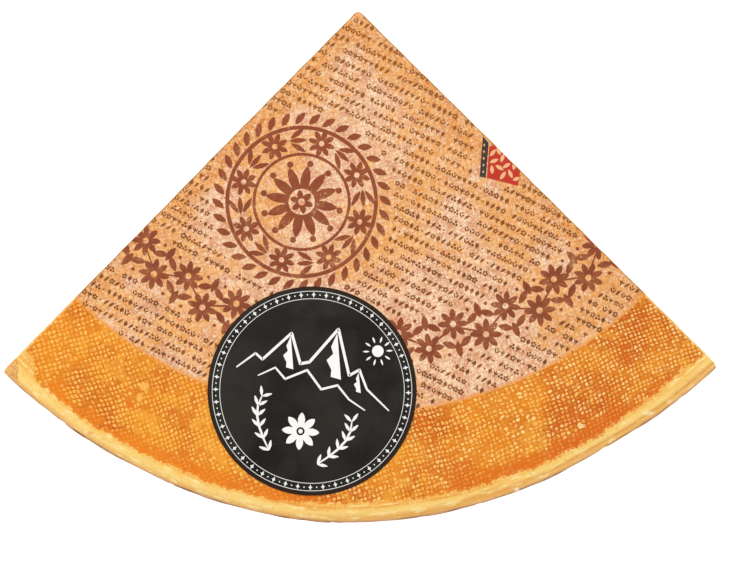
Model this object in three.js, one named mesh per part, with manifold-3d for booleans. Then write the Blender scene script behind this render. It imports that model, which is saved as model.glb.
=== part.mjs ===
// A quarter wheel of alpine cheese, lying flat on its underside: the wedge itself, the printed sheet that was
// pressed into its top face, and a round paper sticker. Millimetres, +Z up. The wedge points towards +Y and its
// curved heel faces -Y. The origin is at the middle of the underside's bounding box.
import * as THREE from "three";
import { mergeVertices } from "three/addons/utils/BufferGeometryUtils.js";
import Module from "manifold-3d";

const wasm = await Module();
wasm.setup();

// The wheel. Angles round it are degrees from the wedge's middle line (-Y), positive towards +X.
const WHEEL_RADIUS = 244;
const WHEEL_HEIGHT = 92;
const WHEEL_SEGMENTS = 240;

// A handmade wheel isn't quite round: one stretch of its heel swells and another is pressed flatter.
const SWELL = { at: -5, spread: 17, height: 2.9 };
const FLAT = { at: 31, spread: 10, height: -2.1 };

// The heel is a shallow curve, widest half way up, and both its edges are rounded shoulders.
const HEEL_BULGE = 1.5;
const HEEL_STEPS = 10;
const SHOULDER_WIDTH = 8;
const SHOULDER_DROP = 5.5;
const TOP_SHOULDER_STEPS = 22;
const UNDER_SHOULDER_STEPS = 8;

// The rim of the mould left a groove and a low ridge along the top shoulder, at these angles round its curve.
const HOOP_GROOVE = { at: 43, spread: 6, height: -0.6 };
const HOOP_RIDGE = { at: 61, spread: 8, height: 0.4 };

// The two cuts that made the wedge, with its blunt tip and the softened upright corners of its heel.
const LEFT_CUT = -44.5;
const RIGHT_CUT = 45.3;
const TIP_RADIUS = 4;
const CORNER_RADIUS = 2.5;
const CORNER_REACH = 0.4;
const CUT_HEIGHT = 120;
const CUT_ARC_STEPS = 8;

// The broken left corner: a flat that starts this far from the corner and falls this much towards it.
const BREAK = { width: 7.2, drop: 5, size: 30 };

// A nick in the heel's top edge.
const NICK = { at: 18.3, out: 0.6, below: 4.5, radius: 2.4 };

// The printed sheet lies flush in the top face, and the sticker lies flat on both.
const SHEET_RADIUS = 193.8;
const SHEET_THICKNESS = 0.4;
const SHEET_GAP = 0.3;
const SHEET_STEPS = 160;
const STICKER_STEPS = 96;
const STICKER = { x: -22, y: -182.5, radius: 50, thickness: 0.3 };

const radians = THREE.MathUtils.degToRad;

// A smooth bump of the given height round a place, at a position.
const bump = ({ at, spread, height }, position) => height * Math.exp(-(((position - at) / spread) ** 2));

// The heel's radius at a height above the underside.
const heelRadius = (z) => WHEEL_RADIUS - HEEL_BULGE * ((2 * z) / WHEEL_HEIGHT - 1) ** 2;

// How many millimetres further out than its mean radius the wheel's edge lies, at an angle round it.
const edgeOffset = (angle) => bump(SWELL, angle) + bump(FLAT, angle);

// The point of the wheel's plan at a radius and an angle from the wedge's middle line.
const planPoint = (radius, angle) =>
  new THREE.Vector2(radius * Math.sin(radians(angle)), -radius * Math.cos(radians(angle)));

// A closed mesh with merged corners, as a solid that can be cut and joined.
function solid(geometry) {
  const bare = new THREE.BufferGeometry();
  bare.setAttribute("position", geometry.getAttribute("position"));
  bare.setIndex(geometry.index);
  const merged = mergeVertices(bare, 1e-4);
  const corners = merged.index.array;
  const kept = [];
  for (let i = 0; i < corners.length; i += 3) {
    const [a, b, c] = corners.slice(i, i + 3);
    if (a !== b && b !== c && c !== a) kept.push(a, b, c);
  }
  return new wasm.Manifold(
    new wasm.Mesh({
      numProp: 3,
      vertProperties: merged.getAttribute("position").array,
      triVerts: new Uint32Array(kept),
    }),
  );
}

// A named mesh of a solid.
function part(name, shape, look) {
  const mesh = shape.getMesh();
  const geometry = new THREE.BufferGeometry();
  geometry.setAttribute("position", new THREE.BufferAttribute(mesh.vertProperties, 3));
  geometry.setIndex(new THREE.BufferAttribute(mesh.triVerts, 1));
  const flat = geometry.toNonIndexed();
  flat.computeVertexNormals();
  const made = new THREE.Mesh(flat, new THREE.MeshStandardMaterial(look));
  made.name = name;
  return made;
}

// A flat outline raised from one height to another, with this many steps to each of its curves.
function slab(outline, low, high, curveSegments) {
  const geometry = new THREE.ExtrudeGeometry(outline, { depth: high - low, bevelEnabled: false, curveSegments });
  geometry.translate(0, 0, low);
  return solid(geometry);
}

// A disc between two heights.
function disc(x, y, radius, low, high, steps) {
  const outline = new THREE.Shape();
  outline.absarc(x, y, radius, 0, 2 * Math.PI);
  return slab(outline, low, high, steps);
}

// A shoulder's curve: from the flat face at 0 degrees to the heel at 90 degrees, at the top or the underside.
function shoulderPoint(angle, top) {
  const marks = top ? bump(HOOP_GROOVE, angle) + bump(HOOP_RIDGE, angle) : 0;
  const turn = radians(angle);
  const out = heelRadius(SHOULDER_DROP) - SHOULDER_WIDTH + (SHOULDER_WIDTH + marks) * Math.sin(turn);
  const depth = SHOULDER_DROP - (SHOULDER_DROP + marks) * Math.cos(turn);
  return new THREE.Vector2(out, top ? WHEEL_HEIGHT - depth : depth);
}

// The wheel's half section, from the middle of its underside round the heel to the middle of its top.
function wheelProfile() {
  const points = [new THREE.Vector2(0, 0)];
  for (let i = 0; i <= UNDER_SHOULDER_STEPS; i += 1) {
    points.push(shoulderPoint((90 * i) / UNDER_SHOULDER_STEPS, false));
  }
  for (let i = 1; i < HEEL_STEPS; i += 1) {
    const z = THREE.MathUtils.lerp(SHOULDER_DROP, WHEEL_HEIGHT - SHOULDER_DROP, i / HEEL_STEPS);
    points.push(new THREE.Vector2(heelRadius(z), z));
  }
  for (let i = TOP_SHOULDER_STEPS; i >= 0; i -= 1) {
    points.push(shoulderPoint((90 * i) / TOP_SHOULDER_STEPS, true));
  }
  points.push(new THREE.Vector2(0, WHEEL_HEIGHT));
  return points;
}

// The whole wheel, turned from its half section, with its edge moved in and out as the real one is.
function wholeWheel() {
  const geometry = new THREE.LatheGeometry(wheelProfile(), WHEEL_SEGMENTS);
  geometry.rotateX(Math.PI / 2);
  const place = geometry.getAttribute("position");
  for (let i = 0; i < place.count; i += 1) {
    const angle = THREE.MathUtils.radToDeg(Math.atan2(place.getX(i), -place.getY(i)));
    const stretch = 1 + edgeOffset(angle) / WHEEL_RADIUS;
    place.setXY(i, place.getX(i) * stretch, place.getY(i) * stretch);
  }
  return solid(geometry);
}

// The wedge's plan: two straight cuts with a blunt tip between them, and an arc just outside the heel that is
// rounded where it meets each cut.
function wedgeOutline() {
  const half = radians(RIGHT_CUT - LEFT_CUT) / 2;
  const middle = (LEFT_CUT + RIGHT_CUT) / 2;
  const tip = planPoint(TIP_RADIUS / Math.sin(half), middle);
  const outer = WHEEL_RADIUS + CORNER_REACH + Math.max(edgeOffset(LEFT_CUT), edgeOffset(RIGHT_CUT), 0);
  const ring = outer - CORNER_RADIUS;
  const inset = THREE.MathUtils.radToDeg(Math.asin(CORNER_RADIUS / ring));
  const heading = (angle) => radians(angle - 90);
  const left = planPoint(ring, LEFT_CUT + inset);
  const right = planPoint(ring, RIGHT_CUT - inset);
  const beyond = outer + 2 * SWELL.height;

  const outline = new THREE.Shape();
  outline.absarc(tip.x, tip.y, TIP_RADIUS, heading(RIGHT_CUT) + Math.PI / 2, heading(LEFT_CUT) - Math.PI / 2);
  outline.absarc(left.x, left.y, CORNER_RADIUS, heading(LEFT_CUT) - Math.PI / 2, heading(LEFT_CUT + inset));
  outline.lineTo(...planPoint(beyond, LEFT_CUT + 4 * inset));
  outline.absarc(0, 0, beyond, heading(LEFT_CUT + 4 * inset), heading(RIGHT_CUT - 4 * inset));
  outline.absarc(right.x, right.y, CORNER_RADIUS, heading(RIGHT_CUT - inset), heading(RIGHT_CUT) + Math.PI / 2);
  return outline;
}

// What the broken left corner lost: all that lies above a plane that falls towards the corner.
function cornerBreak() {
  const corner = planPoint(WHEEL_RADIUS + edgeOffset(LEFT_CUT), LEFT_CUT);
  const geometry = new THREE.BoxGeometry(BREAK.size, BREAK.size, BREAK.size);
  geometry.translate(-BREAK.size / 2, 0, BREAK.size / 2);
  geometry.rotateY(-Math.atan2(BREAK.drop, BREAK.width));
  geometry.translate(corner.x + BREAK.width, corner.y, WHEEL_HEIGHT);
  return solid(geometry);
}

// What the nick took out of the heel's top edge.
function nick() {
  const place = planPoint(WHEEL_RADIUS + edgeOffset(NICK.at) + NICK.out, NICK.at);
  const geometry = new THREE.SphereGeometry(NICK.radius, 12, 8);
  geometry.translate(place.x, place.y, WHEEL_HEIGHT - NICK.below);
  return solid(geometry);
}

const wedgeCut = slab(wedgeOutline(), -CUT_HEIGHT / 2, WHEEL_HEIGHT + CUT_HEIGHT / 2, CUT_ARC_STEPS);
const sheetLow = WHEEL_HEIGHT - SHEET_THICKNESS;

const cheese = wholeWheel()
  .intersect(wedgeCut)
  .subtract(disc(0, 0, SHEET_RADIUS + SHEET_GAP, sheetLow, WHEEL_HEIGHT + CUT_HEIGHT, SHEET_STEPS))
  .subtract(cornerBreak())
  .subtract(nick());
const sheet = disc(0, 0, SHEET_RADIUS, sheetLow, WHEEL_HEIGHT, SHEET_STEPS).intersect(wedgeCut);
const stickerHigh = WHEEL_HEIGHT + STICKER.thickness;
const sticker = disc(STICKER.x, STICKER.y, STICKER.radius, WHEEL_HEIGHT, stickerHigh, STICKER_STEPS);

const wedge = new THREE.Group();
wedge.add(
  part("cheese", cheese, { color: "#ea9637", roughness: 0.62, metalness: 0 }),
  part("printed_sheet", sheet, { color: "#e8b386", roughness: 0.7, metalness: 0 }),
  part("round_sticker", sticker, { color: "#34312c", roughness: 0.5, metalness: 0 }),
);

// The wheel's axis isn't the part's origin: the wedge is moved so that its underside is centred on it.
const middle = new THREE.Box3().setFromObject(wedge).getCenter(new THREE.Vector3());
wedge.position.set(-middle.x, -middle.y, 0);

export default wedge;
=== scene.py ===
import math
import random

import bmesh
import bpy
import numpy as np
from mathutils import Matrix, Vector


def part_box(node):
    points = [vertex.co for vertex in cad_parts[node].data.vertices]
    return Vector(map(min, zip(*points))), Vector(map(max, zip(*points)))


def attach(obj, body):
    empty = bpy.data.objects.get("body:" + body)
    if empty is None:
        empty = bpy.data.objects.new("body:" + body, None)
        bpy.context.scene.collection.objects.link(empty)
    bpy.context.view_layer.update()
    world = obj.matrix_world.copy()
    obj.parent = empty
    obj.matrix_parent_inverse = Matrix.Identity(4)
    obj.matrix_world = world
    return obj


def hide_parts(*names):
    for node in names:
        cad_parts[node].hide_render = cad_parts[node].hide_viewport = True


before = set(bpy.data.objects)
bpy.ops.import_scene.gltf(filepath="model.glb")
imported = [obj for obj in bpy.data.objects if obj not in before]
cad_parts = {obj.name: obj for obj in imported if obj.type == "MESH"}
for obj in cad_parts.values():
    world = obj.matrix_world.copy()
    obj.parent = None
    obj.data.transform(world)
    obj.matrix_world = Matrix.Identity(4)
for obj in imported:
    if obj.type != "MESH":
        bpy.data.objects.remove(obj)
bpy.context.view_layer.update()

MM = 0.001

# The wheel and its cuts. The tip, the corners, the break and the groove follow the photograph, up to 1.5 mm
# off the frame's. Angles are degrees from the middle line.
WHEEL_RADIUS = 244
WHEEL_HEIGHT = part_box("cheese")[1].z / MM
SWELL = {"at": -5, "spread": 17, "height": 2.9}
FLAT = {"at": 31, "spread": 10, "height": -2.1}
HEEL_BULGE = 1.5
SHOULDER_WIDTH = 8
SHOULDER_DROP = 5.5
HOOP_GROOVE = {"at": 43, "spread": 6, "height": -0.35}
HOOP_RIDGE = {"at": 61, "spread": 8, "height": 0.4}
LEFT_CUT = -44.5
RIGHT_CUT = 45.3
CUTS = ((LEFT_CUT, -1), (RIGHT_CUT, 1))
TIP_RADIUS = 2.7
LEFT_CORNER_RADIUS = 3.6
RIGHT_CORNER_RADIUS = 5.4
CORNER_REACH = 0.4
BREAK = {"width": 7.6, "drop": 5.2, "size": 30}
NICK = {"at": 18.3, "out": 0.6, "below": 4.5, "radius": 2.4}

# The printed sheet and the sticker.
SHEET_RADIUS = 193.8
STICKER = {"x": -22, "y": -182.5, "radius": 50, "lift": 0.05, "thickness": 0.24}

# The cloth's weave as it is pressed into the rind: its pitch, how far it is turned, and how deep it lies.
CLOTH_PITCH = 2.13
CLOTH_TURN = math.radians(19)
CLOTH_DEPTH = 0.17
CELLS_A_THREAD = 4

# The block that presses it: how far it reaches each way, how high it stands, and how often the drift is
# worked out again to find where each thread lies.
PRESS_REACH = 260
PRESS_HEIGHT = 12
DRIFT_ROUNDS = 7

# Its threads lie closer together towards the right corner: where along x, and by what share.
CLOTH_TIGHT = {"at": 172, "spread": 42, "height": 0.18}

# Stretches of the heel along which the crust's edge lies further from it, or nearer.
CRUST_BENDS = (
    {"at": -24, "spread": 7, "height": -0.5},
    {"at": 4, "spread": 11, "height": 1.5},
    {"at": 24, "spread": 6, "height": -0.6},
    {"at": 41, "spread": 7, "height": 1.6},
)

# The mould's groove in the rim shows from one angle on and is full from the next.
GROOVE_FROM, GROOVE_FULL = 12, 26

# The wheel's axis in the frame, from the sticker's place on it.
sticker_low, sticker_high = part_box("round_sticker")
AXIS_X = (sticker_low.x + sticker_high.x) / 2 / MM - STICKER["x"]
AXIS_Y = (sticker_low.y + sticker_high.y) / 2 / MM - STICKER["y"]
PLACE = Matrix.Scale(MM, 4) @ Matrix.Translation((AXIS_X, AXIS_Y, 0))


# Socket values, with arithmetic that adds Math nodes


class Value:
    """A socket's value in a material. Arithmetic on it adds Math nodes."""

    def __init__(self, paint, socket):
        self.paint = paint
        self.socket = socket

    def __add__(self, other):
        return self.paint.math("ADD", self, other)

    def __radd__(self, other):
        return self.paint.math("ADD", other, self)

    def __sub__(self, other):
        return self.paint.math("SUBTRACT", self, other)

    def __rsub__(self, other):
        return self.paint.math("SUBTRACT", other, self)

    def __mul__(self, other):
        return self.paint.math("MULTIPLY", self, other)

    def __rmul__(self, other):
        return self.paint.math("MULTIPLY", other, self)

    def __neg__(self):
        return self.paint.math("MULTIPLY", self, -1)


class Paint:
    """A material under construction: a Principled shader, and the nodes that colour it."""

    def __init__(self, name, roughness=0.6, specular=0.4):
        self.material = bpy.data.materials.new(name)
        self.material.use_nodes = True
        self.tree = self.material.node_tree
        self.shader = self.tree.nodes["Principled BSDF"]
        self.shader.inputs["Roughness"].default_value = roughness
        self.shader.inputs["Specular IOR Level"].default_value = specular

    def node(self, kind, settings=None, sockets=None, out=0):
        """Any node: its settings are set first, then its sockets' values or links."""
        made = self.tree.nodes.new(kind)
        for name, setting in (settings or {}).items():
            setattr(made, name, setting)
        for name, value in (sockets or {}).items():
            self.feed(made.inputs[name], value)
        return Value(self, made.outputs[out])

    def feed(self, socket, value):
        if isinstance(value, Value):
            self.tree.links.new(value.socket, socket)
        else:
            socket.default_value = value

    def math(self, operation, *values):
        return self.node("ShaderNodeMath", {"operation": operation}, dict(enumerate(values)))

    def mix(self, share, first, second):
        """A colour between two colours: the second where share is 1. The node's sockets go by number."""
        sockets = {0: share, 6: first, 7: second}
        return self.node("ShaderNodeMix", {"data_type": "RGBA"}, sockets, out=2)

    def step(self, value, low, high):
        """0 below low and 1 above high, with a smooth rise between them."""
        sockets = {"Value": value, "From Min": low, "From Max": high}
        return self.node("ShaderNodeMapRange", {"interpolation_type": "SMOOTHSTEP"}, sockets)

    def ramp(self, value, stops):
        """A colour that follows a value through a list of places and colours."""
        made = self.node("ShaderNodeValToRGB", None, {0: value})
        elements = made.socket.node.color_ramp.elements
        while len(elements) < len(stops):
            elements.new(0.5)
        for element, (place, colour) in zip(elements, stops):
            element.position = place
            element.color = colour
        return made

    def least(self, first, second):
        return self.math("MINIMUM", first, second)

    def vector(self, x, y, z=0.0):
        return self.node("ShaderNodeCombineXYZ", None, {0: x, 1: y, 2: z})

    def noise(self, vector, scale, detail=3.0, roughness=0.5, distortion=0.0):
        """Cloudy noise around 0.5."""
        sockets = {"Vector": vector, "Scale": scale, "Detail": detail, "Roughness": roughness}
        sockets["Distortion"] = distortion
        return self.node("ShaderNodeTexNoise", None, sockets)

    def patches(self, vector, scale, low, high, detail=3.0, roughness=0.5):
        """Patches of cloudy noise: 0 where it is below low and 1 where it is above high."""
        return self.step(self.noise(vector, scale, detail, roughness), low, high)

    def length(self, x, y):
        return self.math("SQRT", x * x + y * y)

    def place(self):
        """The surface's place in millimetres from the wheel's axis, as a vector and as x, y and z."""
        here = self.node("ShaderNodeTexCoord", out="Object")
        sockets = {"Vector": here, "Location": (-AXIS_X, -AXIS_Y, 0), "Scale": (1 / MM, 1 / MM, 1 / MM)}
        vector = self.node("ShaderNodeMapping", None, sockets)
        return vector, *(self.node("ShaderNodeSeparateXYZ", None, {0: vector}, axis) for axis in "XYZ")

    def colour(self, value):
        self.feed(self.shader.inputs["Base Color"], value)

    def rough(self, value):
        self.feed(self.shader.inputs["Roughness"], value)

    def relief(self, height, depth):
        """Height from 0 to 1 as bump of a depth in millimetres."""
        sockets = {"Height": height, "Strength": 1.0, "Distance": depth * MM}
        self.feed(self.shader.inputs["Normal"], self.node("ShaderNodeBump", None, sockets))


def srgb(red, green, blue):
    """A colour as seen on a screen, 0 to 255, as a shader's colour."""
    shares = [part / 255 for part in (red, green, blue)]
    linear = [s / 12.92 if s <= 0.04045 else ((s + 0.055) / 1.055) ** 2.4 for s in shares]
    return (*linear, 1.0)


# Formulas that the shapes and the materials share, on numbers, arrays and socket values alike


def sine(x):
    return x.paint.math("SINE", x) if isinstance(x, Value) else np.sin(x)


def cosine(x):
    return x.paint.math("COSINE", x) if isinstance(x, Value) else np.cos(x)


def exponent(x):
    return x.paint.math("EXPONENT", x) if isinstance(x, Value) else np.exp(x)


def bump(shape, position):
    """A smooth bump of the given height round a place, at a position."""
    away = (position - shape["at"]) * (1 / shape["spread"])
    return shape["height"] * exponent(-(away * away))


def edge_offset(angle):
    """How far outside its mean radius the wheel's edge lies, at an angle in degrees."""
    return bump(SWELL, angle) + bump(FLAT, angle)


def crust_inset(angle):
    """How far inside the heel the orange crust begins, at an angle in degrees."""
    along = angle * math.radians(WHEEL_RADIUS)
    slow = 0.5 * sine(along * 0.07 + 2.1) + 0.4 * sine(along * 0.19)
    fast = 0.4 * sine(along * 0.53 + 1.2) + 0.3 * sine(along * 1.31 + 0.7)
    return 8.9 + slow + fast + sum(bump(bend, angle) for bend in CRUST_BENDS)


def cloth_drift(x, y):
    """How far the cloth lay shifted where it creased, in millimetres along both of its threads."""
    across = 1.9 * sine(x * 0.051 + y * 0.012 + 1.3) + 0.8 * sine(y * 0.093 - x * 0.034)
    down = 1.7 * sine(x * 0.043 - y * 0.027 + 0.4) + 0.7 * sine(x * 0.088 + y * 0.051 + 2.0)
    return across, down + bump(CLOTH_TIGHT, x) * (y + 130)


def cloth_threads(x, y):
    """A place in millimetres as a place on the cloth, counted in threads each way."""
    across, down = cloth_drift(x, y)
    u = x * math.cos(CLOTH_TURN) + y * math.sin(CLOTH_TURN) + across
    v = y * math.cos(CLOTH_TURN) - x * math.sin(CLOTH_TURN) + down
    return u * (1 / CLOTH_PITCH), v * (1 / CLOTH_PITCH)


def ripple(turns):
    """A smooth wave: 1 at each whole turn and 0 halfway between them."""
    return 0.5 + 0.5 * cosine(turns * math.tau)


def cloth_knob(u, v):
    """The weave's imprint: 1 on a knob and 0 in the furrows between them."""
    return ripple(u) * ripple(v)


def inside_cut(x, y, cut, away):
    """How far a place lies inside a cut, which has the wedge on its other side than away points."""
    turn = math.radians(cut + 90 * away)
    return y * math.cos(turn) - x * math.sin(turn)


def inside_cuts(paint, x, y):
    """How far a place lies inside the nearer cut."""
    return paint.least(*(inside_cut(x, y, cut, away) for cut, away in CUTS))


# Mesh work


def vertex_places(mesh):
    places = np.empty(len(mesh.vertices) * 3, np.float32)
    mesh.vertices.foreach_get("co", places)
    return places.reshape(-1, 3).astype(float)


def move_vertices(mesh, places):
    mesh.vertices.foreach_set("co", places.astype(np.float32).ravel())
    mesh.update()


def made_object(name, bm, *materials):
    """A bmesh as an object in the scene, with its normals facing out."""
    bmesh.ops.recalc_face_normals(bm, faces=bm.faces[:])
    mesh = bpy.data.meshes.new(name)
    bm.to_mesh(mesh)
    bm.free()
    for material in materials:
        mesh.materials.append(material)
    piece = bpy.data.objects.new(name, mesh)
    bpy.context.scene.collection.objects.link(piece)
    return piece


def carve(piece, tool, operation="DIFFERENCE"):
    """Cuts the piece with a tool, which is used up."""
    modifier = piece.modifiers.new("carve", "BOOLEAN")
    modifier.solver = "MANIFOLD"
    modifier.operation = operation
    modifier.object = tool
    depsgraph = bpy.context.evaluated_depsgraph_get()
    carved = bpy.data.meshes.new_from_object(piece.evaluated_get(depsgraph))
    piece.modifiers.clear()
    piece.data = carved
    bpy.data.objects.remove(tool)


def finish_piece(piece, sharp=40):
    """Places the piece in the frame, smooths all but its sharp edges, and names what it rides on."""
    piece.data.transform(PLACE)
    bm = bmesh.new()
    bm.from_mesh(piece.data)
    for face in bm.faces:
        face.smooth = True
    for edge in bm.edges:
        edge.smooth = edge.calc_face_angle(0) < math.radians(sharp)
    bm.to_mesh(piece.data)
    bm.free()
    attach(piece, "root")


def plan_point(radius, angle):
    turn = math.radians(angle)
    return radius * math.sin(turn), -radius * math.cos(turn)


def plan_direction(angle):
    return Vector((*plan_point(1, angle), 0))


def parts_of(geometry, kind):
    return [part for part in geometry if isinstance(part, kind)]


def raise_faces(bm, height):
    """Extrudes all of a mesh's faces upwards, and gives what was raised."""
    raised = bmesh.ops.extrude_face_region(bm, geom=bm.faces[:])["geom"]
    bmesh.ops.translate(bm, vec=(0, 0, height), verts=parts_of(raised, bmesh.types.BMVert))
    return raised


def raised_disc(place, radius, thickness, segments=360):
    """A new mesh that holds a disc, and the parts of the disc that were raised."""
    bm = bmesh.new()
    matrix = Matrix.Translation(place)
    bmesh.ops.create_circle(bm, cap_ends=True, segments=segments, radius=radius, matrix=matrix)
    return bm, raise_faces(bm, thickness)


# The cheese

RIND, PASTE, BROKEN = 0, 1, 2
SPIN_FROM, SPIN_TO = -56, 57
SPIN_STEP = 1.5
HEEL_STEP = 2.2
RAISED = 0.6
CRUST_LIP = 10.5
SHEET_DEPTH = 0.4
BED_DEPTH = 0.3
EYES_A_CUT = 26

# Cloth folds down the heel: their angle halfway up, how they lean as they rise, and how far they stand in.
FOLD_WIDTH = 0.3
HEEL_FOLDS = (
    (-36, 0.01, -0.5),
    (-21, -0.015, -0.35),
    (-3, 0.008, -0.45),
    (14, -0.012, -0.3),
    (29, 0.01, -0.5),
    (40, -0.006, -0.35),
)


def heel_radius(z):
    return WHEEL_RADIUS - HEEL_BULGE * (2 * z / WHEEL_HEIGHT - 1) ** 2


def shoulder_point(angle, top):
    """A shoulder's curve, at the top or the underside: from the flat face at 0 degrees to the heel at 90."""
    turn = math.radians(angle)
    out = heel_radius(SHOULDER_DROP) - SHOULDER_WIDTH * (1 - math.sin(turn))
    depth = SHOULDER_DROP * (1 - math.cos(turn))
    return out, WHEEL_HEIGHT - depth if top else depth


def hoop_marks(radius, angle, z):
    """The groove and the ridge that the mould left along the top shoulder, as shifts outwards and upwards."""
    out = radius - heel_radius(SHOULDER_DROP) + SHOULDER_WIDTH
    up = z - WHEEL_HEIGHT + SHOULDER_DROP
    turn = np.arctan2(out / SHOULDER_WIDTH, up / SHOULDER_DROP)
    marks = bump(HOOP_GROOVE, np.degrees(turn)) + bump(HOOP_RIDGE, np.degrees(turn))
    marks *= (out > 0) & (up > -0.01)
    marks *= np.clip((angle - GROOVE_FROM) / (GROOVE_FULL - GROOVE_FROM), 0, 1)
    return marks * np.sin(turn), marks * np.cos(turn)


def wheel_profile():
    """The wheel's half section, from the middle of its underside round the heel to the middle of its top,
    which is left a little high for the cloth to be pressed into."""
    under = [(0, 0), *((radius, 0) for radius in range(24, int(WHEEL_RADIUS) - 10, 24))]
    under += [shoulder_point(90 * step / 8, top=False) for step in range(9)]
    straight = WHEEL_HEIGHT - 2 * SHOULDER_DROP
    steps = round(straight / HEEL_STEP)
    levels = [SHOULDER_DROP + straight / steps * step for step in range(1, steps)]
    heel = [(heel_radius(z), z) for z in levels]
    shoulder = [shoulder_point(angle, top=True) for angle in range(90, 5, -3)]
    lip = heel_radius(SHOULDER_DROP) - CRUST_LIP
    high = WHEEL_HEIGHT + RAISED
    return under + heel + shoulder + [(lip, high), (0, high)]


def heel_unevenness(angle, z):
    """How far the heel stands out from its smooth curve: slow swells, cloth folds and small dents."""
    along = angle * math.radians(WHEEL_RADIUS)
    swells = 0.22 * np.sin(along * 0.11 + z * 0.05) + 0.16 * np.sin(along * 0.23 - z * 0.13 + 1.7)
    grain = 0.07 * np.sin(along * 0.71 + z * 0.33) * np.sin(z * 0.62 - along * 0.2)
    folds = sum(
        bump({"at": at + lean * (z - WHEEL_HEIGHT / 2), "spread": FOLD_WIDTH, "height": height}, angle)
        for at, lean, height in HEEL_FOLDS
    )
    return swells + grain + folds


def spun_wheel(materials):
    """The wheel's arc round the wedge, wider than the wedge on both sides."""
    bm = bmesh.new()
    verts = [bm.verts.new((*plan_point(radius, SPIN_FROM), z)) for radius, z in wheel_profile()]
    edges = [bm.edges.new(pair) for pair in zip(verts, verts[1:])]
    turn = math.radians(SPIN_TO - SPIN_FROM)
    steps = round(turn * WHEEL_RADIUS / SPIN_STEP)
    last = bmesh.ops.spin(
        bm, geom=verts + edges, cent=(0, 0, 0), axis=(0, 0, 1), dvec=(0, 0, 0), angle=turn, steps=steps,
        use_merge=False,
    )["geom_last"]
    bmesh.ops.contextual_create(bm, geom=edges)
    bmesh.ops.contextual_create(bm, geom=parts_of(last, bmesh.types.BMEdge))
    bmesh.ops.remove_doubles(bm, verts=bm.verts[:], dist=0.001)
    bmesh.ops.dissolve_degenerate(bm, edges=bm.edges[:], dist=0.0005)
    wheel = made_object("cheese_body", bm, *materials)

    places = vertex_places(wheel.data)
    radius = np.hypot(places[:, 0], places[:, 1])
    angle = np.degrees(np.arctan2(places[:, 0], -places[:, 1]))
    z = places[:, 2]
    outer = np.clip((radius - (WHEEL_RADIUS - SHOULDER_WIDTH - 2)) / 6, 0, 1)
    outwards, upwards = hoop_marks(radius, angle, z)
    grown = radius + outwards + edge_offset(angle) * radius / WHEEL_RADIUS + outer * heel_unevenness(angle, z)
    places[:, 2] += upwards
    scale = np.divide(grown, radius, out=np.ones_like(radius), where=radius > 0.01)
    places[:, 0] *= scale
    places[:, 1] *= scale
    move_vertices(wheel.data, places)
    return wheel


def cloth_press():
    """What the cloth pressed away round the sheet: a block whose underside is the weave in reverse."""
    inner, outer = SHEET_RADIUS - 3, WHEEL_RADIUS + 8
    cells = round(2 * PRESS_REACH / CLOTH_PITCH) * CELLS_A_THREAD
    bm = bmesh.new()
    bmesh.ops.create_grid(bm, x_segments=cells, y_segments=cells, size=cells / CELLS_A_THREAD / 2)
    flat = bpy.data.meshes.new("cloth")
    bm.to_mesh(flat)
    threads = vertex_places(flat)[:, :2] * CLOTH_PITCH
    x = y = 0
    for _ in range(DRIFT_ROUNDS):
        across, down = cloth_drift(x, y)
        u, v = threads[:, 0] - across, threads[:, 1] - down
        x = u * math.cos(CLOTH_TURN) - v * math.sin(CLOTH_TURN)
        y = u * math.sin(CLOTH_TURN) + v * math.cos(CLOTH_TURN)
    radius, angle = np.hypot(x, y), np.degrees(np.arctan2(x, -y))
    u, v = cloth_threads(x, y)
    inside = WHEEL_RADIUS + edge_offset(angle) - radius
    crust = np.clip((inside - crust_inset(angle)) / 2, 0, 1) * np.clip((radius - SHEET_RADIUS) / 2, 0, 1)
    waves = 0.1 * np.sin(x * 0.09 + y * 0.05) + 0.08 * np.sin(y * 0.13 - x * 0.07 + 1)
    z = WHEEL_HEIGHT + crust * (waves - CLOTH_DEPTH * (1 - cloth_knob(u, v)))
    kept = (radius > inner) & (radius < outer) & (angle > SPIN_FROM + 3) & (angle < SPIN_TO - 3)

    bm.verts.ensure_lookup_table()
    for vert, place in zip(bm.verts, np.column_stack((x, y, z))):
        vert.co = place
    bmesh.ops.delete(bm, geom=[vert for vert, keep in zip(bm.verts[:], kept) if not keep], context="VERTS")
    bpy.data.meshes.remove(flat)
    for vert in parts_of(raise_faces(bm, 1), bmesh.types.BMVert):
        vert.co.z = WHEEL_HEIGHT + PRESS_HEIGHT
    return made_object("cloth_press", bm)


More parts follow.
